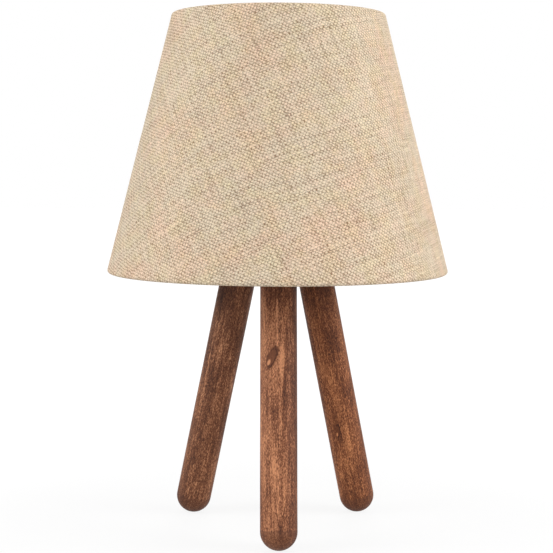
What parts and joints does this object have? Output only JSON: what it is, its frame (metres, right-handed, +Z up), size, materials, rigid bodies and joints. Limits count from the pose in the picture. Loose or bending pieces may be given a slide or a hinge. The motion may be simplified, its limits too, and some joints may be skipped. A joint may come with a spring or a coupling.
{
  "type": "tripod table lamp",
  "caption": "Table lamp on three round stained timber legs with ball feet, with a tapered linen-weave shade over a hub, a screw lampholder and a bulb.",
  "frame": {"origin": "on the floor under the lamp's upright axis, at the centre of the three feet", "axes": "+Z up along the lamp's axis, -Y towards the front leg, +X to the right"},
  "size_m": [0.2189, 0.219, 0.3305],
  "materials": {
    "leg_timber": "walnut-stained beech, satin wax, rounded feet",
    "hub_timber": "walnut-stained beech, turned, satin wax",
    "zinc_steel": "zinc-plated",
    "brass_parts": "bright, turned or pressed",
    "black_moulding": "black moulding, fine satin",
    "white_ceramic": "unglazed steatite",
    "nylon": "natural nylon",
    "frame_white": "white powder coat on steel wire",
    "liner_sheet": "stiff white sheet, faintly satin",
    "linen_weave": "coarse plain weave, natural linen colour",
    "plated_cap": "nickel-plated, rolled",
    "black_insulator": "glossy black",
    "bulb_white": "smooth white moulding",
    "board": "white solder mask on aluminium",
    "chips": "yellow phosphor",
    "opal": "opal diffuser, satin"
  },
  "bodies": {
    "lamp_base": {"leg_front": "leg_timber", "leg_right": "leg_timber", "leg_left": "leg_timber", "leg_bolts": "zinc_steel", "leg_inserts": "brass_parts", "hub": "hub_timber", "threaded_tube": "zinc_steel", "tube_nut": "zinc_steel", "tube_washer": "zinc_steel", "cord_grip": "black_moulding", "clamp_screw": "nylon", "seat_washer": "zinc_steel", "holder_cap": "black_moulding", "holder_skirt": "black_moulding", "contact_carrier": "white_ceramic", "screw_shell": "brass_parts", "centre_contact": "brass_parts", "side_contact": "brass_parts", "terminal_screws": "brass_parts"},
    "shade": {"fitter_ring": "frame_white", "spokes": "frame_white", "bottom_wire": "frame_white", "top_wire": "frame_white", "shade_liner": "liner_sheet", "shade_fabric": "linen_weave"},
    "shade_ring": {"shade_ring": "black_moulding"},
    "bulb_tip": {"bulb_contact": "plated_cap"},
    "bulb": {"bulb_insulator": "black_insulator", "bulb_cap": "plated_cap", "bulb_body": "bulb_white", "light_board": "board", "light_chips": "chips", "bulb_globe": "opal"}
  },
  "joints": [
    {"name": "shade_turn", "type": "hinge", "parent": "lamp_base", "child": "shade", "pos_m": [0, 0, 0.217], "axis": [0, 0, 1], "continuous": true},
    {"name": "ring_off", "type": "slide", "parent": "lamp_base", "child": "shade_ring", "axis": [0, 0, 1], "range_m": [0, 0.0265]},
    {"name": "bulb_rise", "type": "slide", "parent": "lamp_base", "child": "bulb_tip", "axis": [0, 0, 1], "range_m": [0, 0.0182]},
    {"name": "bulb_turn", "type": "hinge", "parent": "bulb_tip", "child": "bulb", "pos_m": [0, 0, 0.23], "axis": [0, 0, 1], "range_deg": [0, 1800]}
  ],
  "couplings": [
    {"joint": "bulb_rise", "follows": "bulb_turn", "m_per_rad": 0.00057773}
  ]
}
